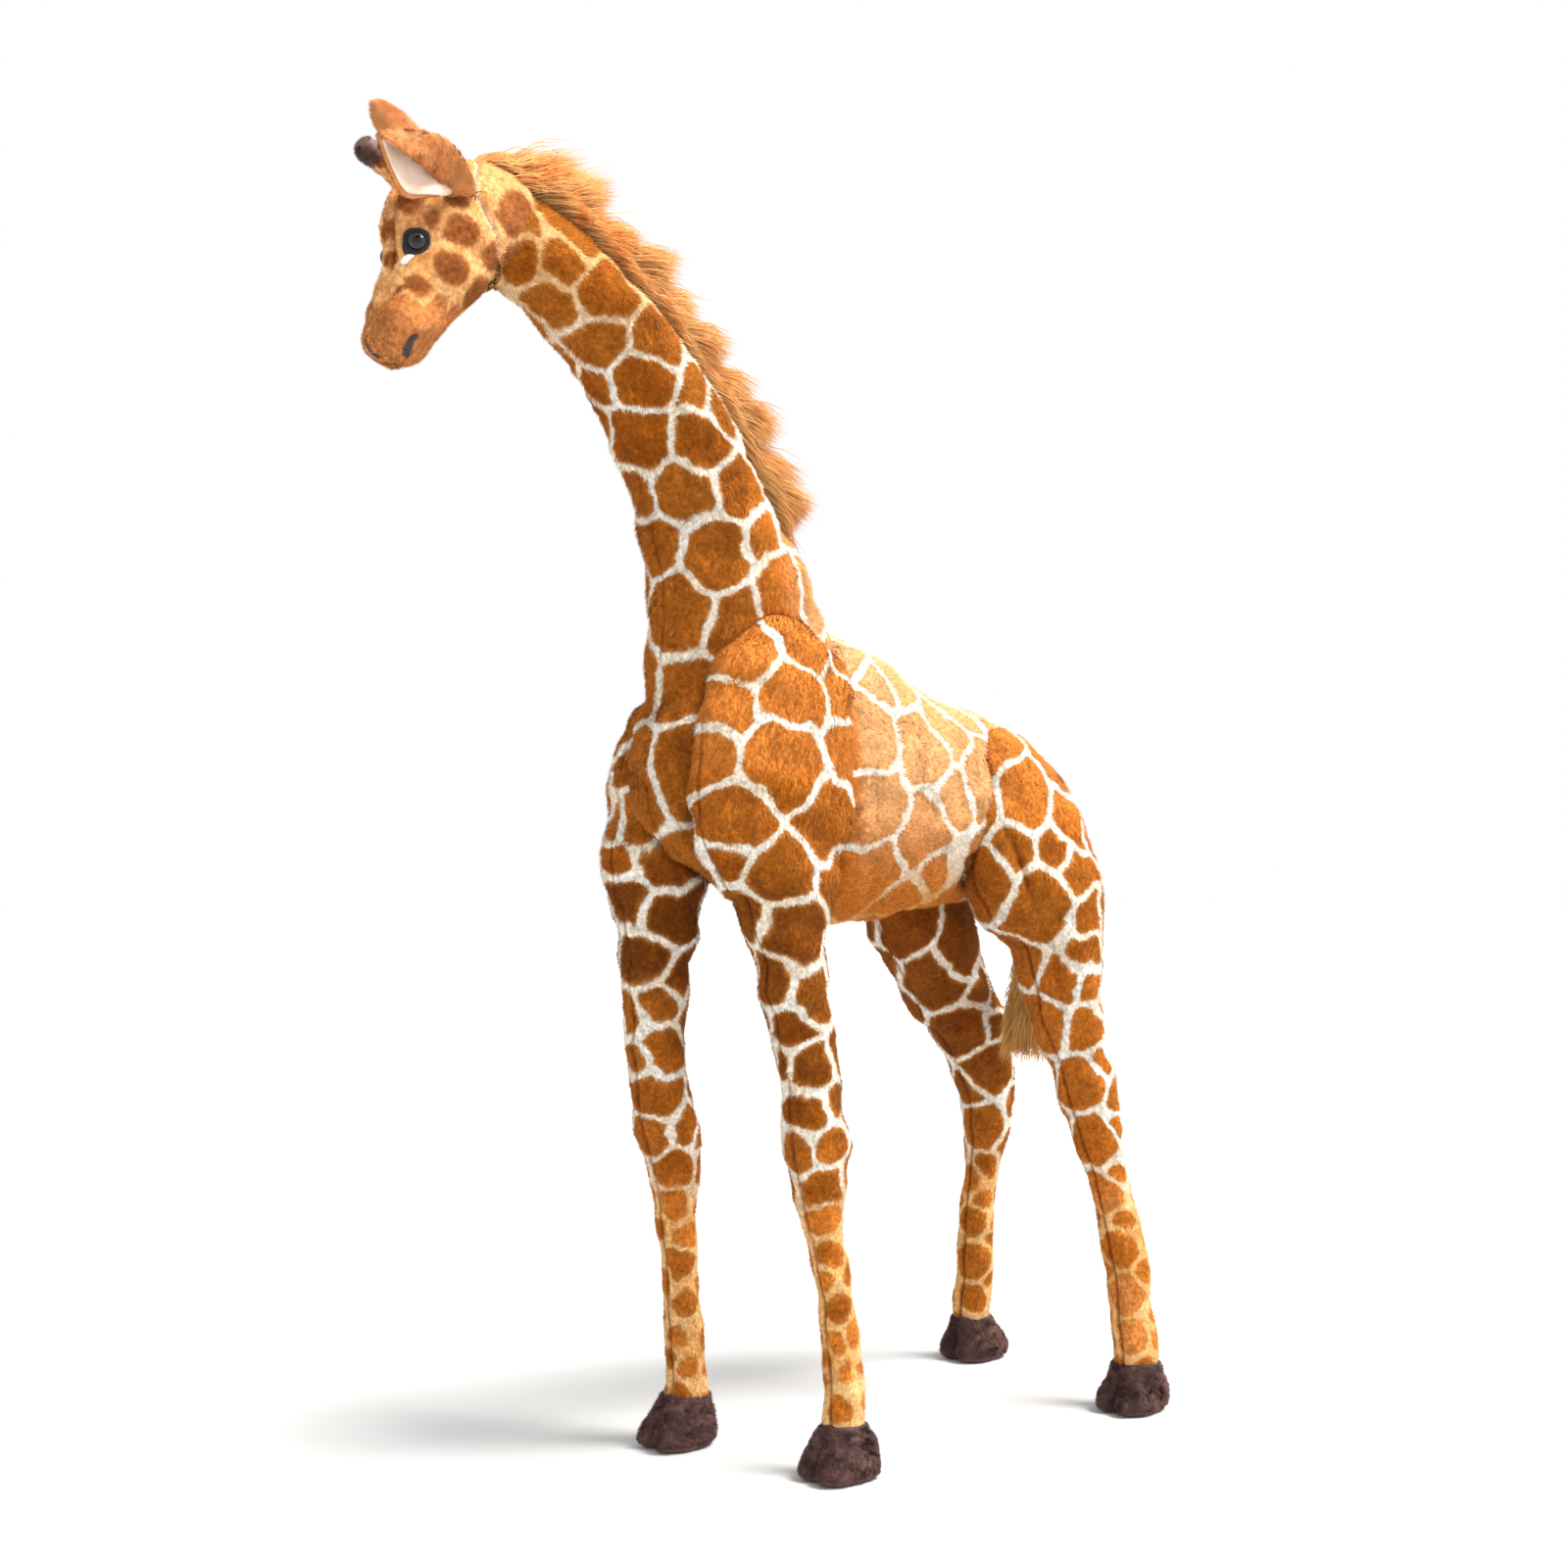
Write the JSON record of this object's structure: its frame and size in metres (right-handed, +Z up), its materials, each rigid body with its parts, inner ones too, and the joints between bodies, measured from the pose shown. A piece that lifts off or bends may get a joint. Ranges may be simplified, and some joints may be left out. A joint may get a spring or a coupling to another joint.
{
  "type": "plush giraffe",
  "caption": "Free-standing plush giraffe with a posable neck, hinged head and ears, short horns, shaggy mane, patterned coat, dark hooves and a hanging tail, stiffened by a wire frame.",
  "frame": {"origin": "centre of the bounding box on the floor under the hooves", "axes": "+Z up; the giraffe faces -Y; its left side is +X"},
  "size_m": [0.2172, 0.6386, 0.8139],
  "materials": {
    "patterned_plush": "short printed pile: rust-brown patches in a net of cream lines, tan below the knees",
    "head_plush": "short printed pile: tan with soft brown spots, terracotta muzzle",
    "mane_pile": "long combed pile, orange-tan",
    "tail_pile": "long pile, yellowish tan",
    "hoof_plush": "short dark purplish-brown pile",
    "horn_tip_plush": "dark brown pile",
    "ear_lining": "smooth velboa, pale pinkish cream",
    "eye_gloss": "polished black dome",
    "eye_washer": "moulded white washer",
    "dark_felt": "black felt and stitching",
    "white_felt": "white felt",
    "filling": "polyester fibre",
    "steel_wire": "drawn steel wire"
  },
  "bodies": {
    "torso": {"torso_skin": "patterned_plush", "torso_stuffing": "filling", "spine_wire": "steel_wire", "front_crossbar": "steel_wire", "hind_crossbar": "steel_wire", "front_wire_sleeve": "steel_wire", "hind_wire_sleeve": "steel_wire"},
    "neck_lower": {"neck_lower_skin": "patterned_plush", "neck_lower_stuffing": "filling", "neck_lower_wire": "steel_wire", "mane_lower": "mane_pile"},
    "neck_upper": {"neck_upper_skin": "patterned_plush", "neck_upper_stuffing": "filling", "neck_upper_wire": "steel_wire", "mane_upper": "mane_pile"},
    "head": {"head_skin": "head_plush", "head_stuffing": "filling", "head_wire": "steel_wire", "eye_left": "eye_gloss", "eye_right": "eye_gloss", "eye_washer_left": "eye_washer", "eye_washer_right": "eye_washer", "eye_felt_left": "dark_felt", "eye_felt_right": "dark_felt", "eye_corner_left": "white_felt", "eye_corner_right": "white_felt", "nostril_left": "dark_felt", "nostril_right": "dark_felt", "horn_left": "head_plush", "horn_right": "head_plush", "horn_tip_left": "horn_tip_plush", "horn_tip_right": "horn_tip_plush"},
    "ear_left": {"ear_left_back": "head_plush", "ear_left_lining": "ear_lining"},
    "ear_right": {"ear_right_back": "head_plush", "ear_right_lining": "ear_lining"},
    "tail": {"tail_tube": "patterned_plush", "tail_tuft": "tail_pile"},
    "leg_front_left": {"leg_front_left_skin": "patterned_plush", "leg_front_left_stuffing": "filling", "leg_front_left_wire": "steel_wire", "hoof_front_left": "hoof_plush", "hoof_front_left_stuffing": "filling"},
    "leg_front_right": {"leg_front_right_skin": "patterned_plush", "leg_front_right_stuffing": "filling", "leg_front_right_wire": "steel_wire", "hoof_front_right": "hoof_plush", "hoof_front_right_stuffing": "filling"},
    "leg_hind_left": {"leg_hind_left_skin": "patterned_plush", "leg_hind_left_stuffing": "filling", "leg_hind_left_wire": "steel_wire", "hoof_hind_left": "hoof_plush", "hoof_hind_left_stuffing": "filling"},
    "leg_hind_right": {"leg_hind_right_skin": "patterned_plush", "leg_hind_right_stuffing": "filling", "leg_hind_right_wire": "steel_wire", "hoof_hind_right": "hoof_plush", "hoof_hind_right_stuffing": "filling"}
  },
  "joints": [
    {"name": "neck_bend", "type": "hinge", "parent": "torso", "child": "neck_lower", "pos_m": [0, -0.01664, 0.45], "axis": [1, 0, 0], "range_deg": [-8, 8]},
    {"name": "neck_twist", "type": "hinge", "parent": "neck_lower", "child": "neck_upper", "pos_m": [0, -0.08164, 0.636], "axis": [0, -0.567, 0.8237], "range_deg": [-15, 15]},
    {"name": "head_nod", "type": "hinge", "parent": "neck_upper", "child": "head", "pos_m": [0, -0.21864, 0.735], "axis": [1, 0, 0], "range_deg": [-15, 18]},
    {"name": "ear_left_tilt", "type": "hinge", "parent": "head", "child": "ear_left", "pos_m": [0.0314, -0.24764, 0.75], "axis": [1, 0, 0], "range_deg": [-40, 15], "stiffness_Nm_per_rad": 0.05},
    {"name": "ear_right_tilt", "type": "hinge", "parent": "head", "child": "ear_right", "pos_m": [-0.0314, -0.24564, 0.75], "axis": [1, 0, 0], "range_deg": [-15, 40], "stiffness_Nm_per_rad": 0.05},
    {"name": "tail_swing", "type": "hinge", "parent": "torso", "child": "tail", "pos_m": [0, 0.26236, 0.44], "axis": [1, 0, 0], "range_deg": [-4, 40]},
    {"name": "hip_front_left", "type": "hinge", "parent": "torso", "child": "leg_front_left", "pos_m": [0.03, -0.03464, 0.445], "axis": [1, 0, 0], "range_deg": [-8, 8]},
    {"name": "hip_front_right", "type": "hinge", "parent": "torso", "child": "leg_front_right", "pos_m": [-0.03, -0.03464, 0.445], "axis": [1, 0, 0], "range_deg": [-8, 8]},
    {"name": "hip_hind_left", "type": "hinge", "parent": "torso", "child": "leg_hind_left", "pos_m": [0.03, 0.18336, 0.405], "axis": [1, 0, 0], "range_deg": [-8, 8]},
    {"name": "hip_hind_right", "type": "hinge", "parent": "torso", "child": "leg_hind_right", "pos_m": [-0.03, 0.18336, 0.405], "axis": [1, 0, 0], "range_deg": [-8, 8]}
  ]
}
